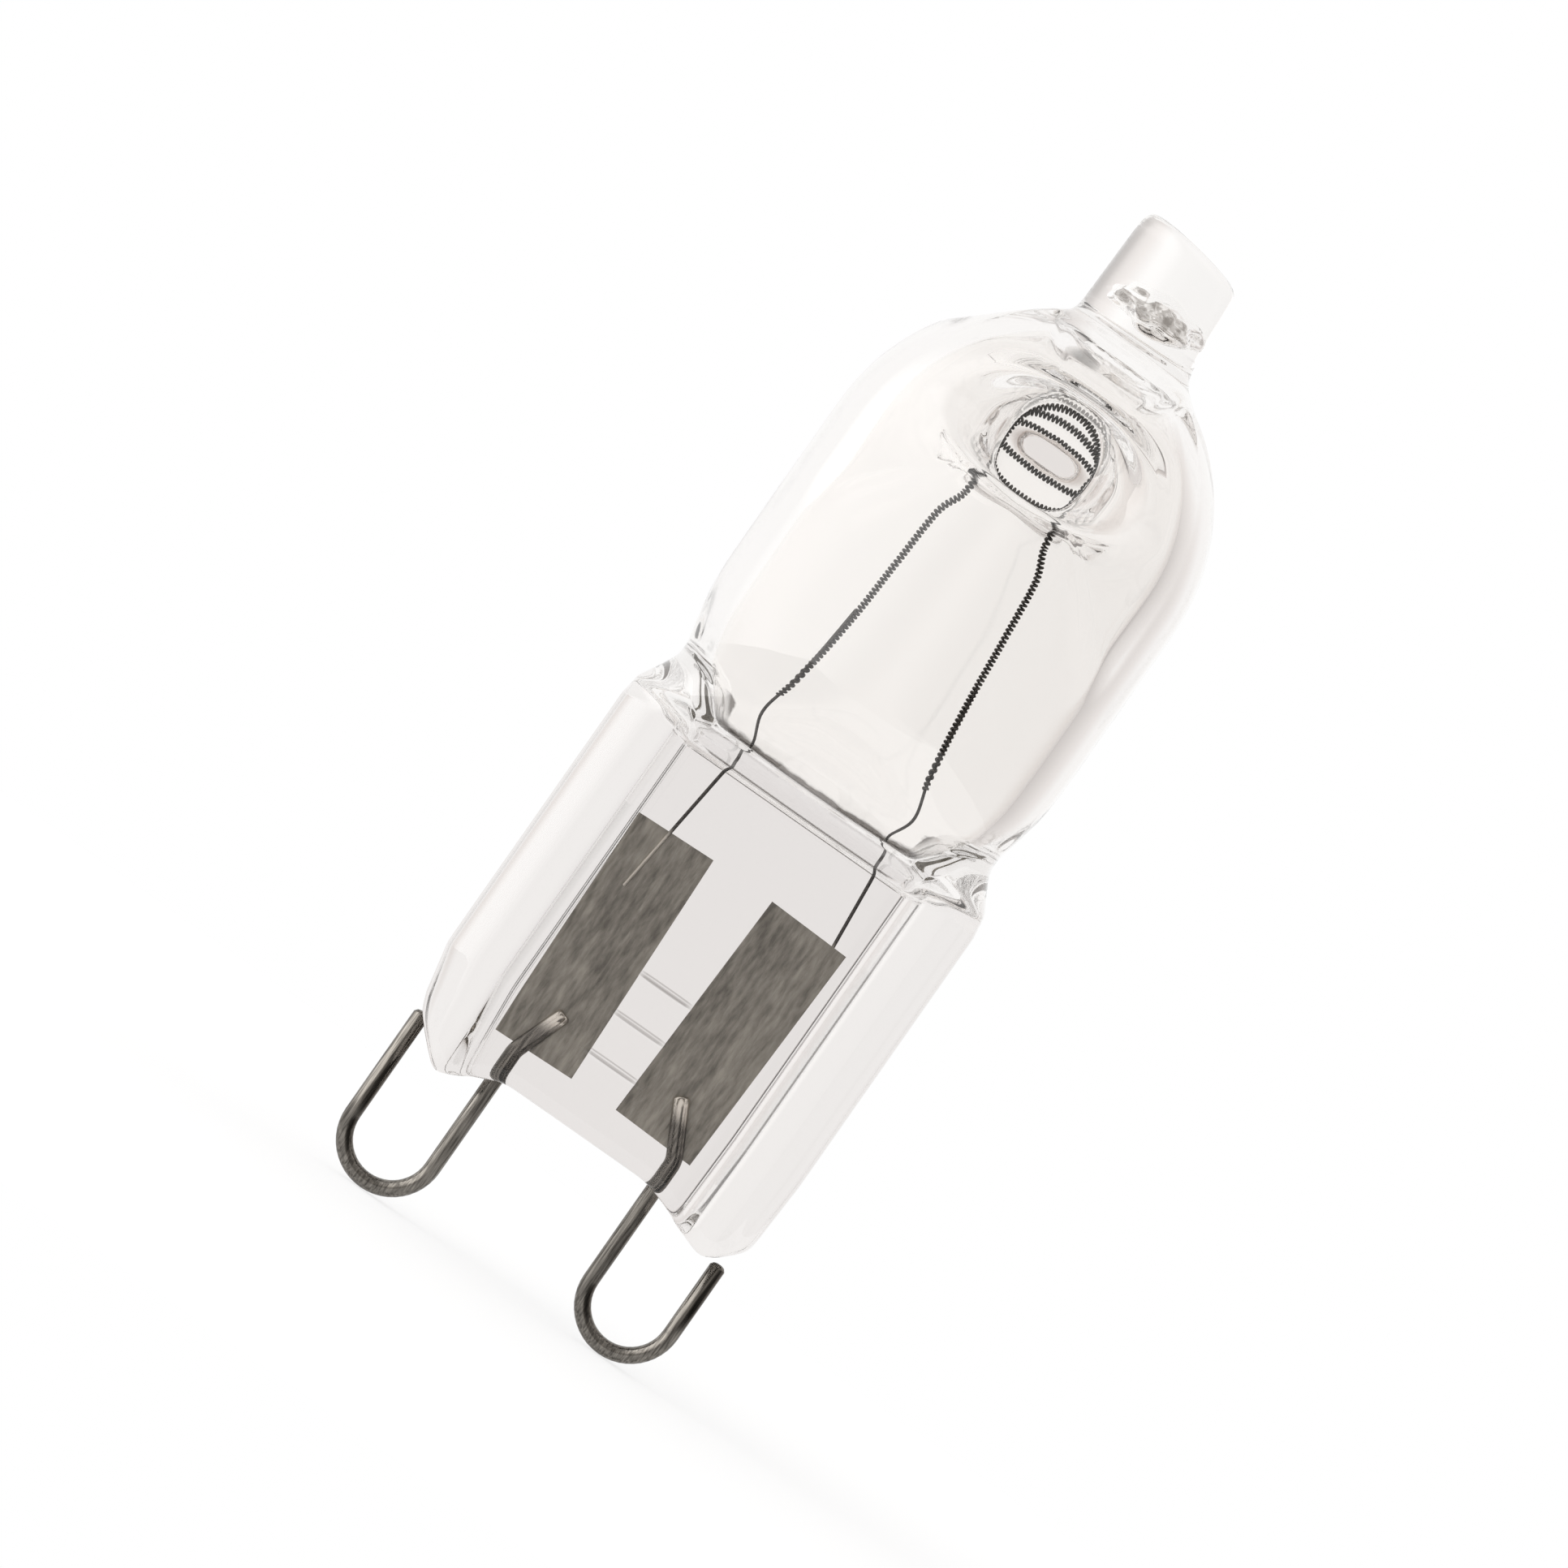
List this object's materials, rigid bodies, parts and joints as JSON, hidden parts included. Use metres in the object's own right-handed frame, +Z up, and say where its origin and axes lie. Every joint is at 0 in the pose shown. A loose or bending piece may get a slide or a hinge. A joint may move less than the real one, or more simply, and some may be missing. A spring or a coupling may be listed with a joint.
{
  "type": "halogen bulb",
  "caption": "Clear capsule halogen bulb: a dented quartz bulb with a sealed tip, a filament looped round a glass bridge, and a flat pinch with wire contact loops.",
  "frame": {"origin": "on the lamp axis at the foot of the pinch's web, midway between the two contact loops", "axes": "+Z up the lamp axis from the contact loops to the sealed tip, X from loop to loop, the front of the pinch faces -Y"},
  "size_m": [0.0132, 0.0126, 0.0388],
  "materials": {
    "quartz": "clear fused quartz, fire polished",
    "contact_wire": "bright drawn wire",
    "foil": "rolled molybdenum foil, satin",
    "tungsten": "drawn tungsten, dull grey"
  },
  "bodies": {
    "root": {"quartz_envelope": "quartz", "contact_loop_left": "contact_wire", "contact_loop_right": "contact_wire", "seal_foil_left": "foil", "seal_foil_right": "foil", "inner_lead_left": "tungsten", "inner_lead_right": "tungsten", "filament": "tungsten"}
  },
  "joints": []
}
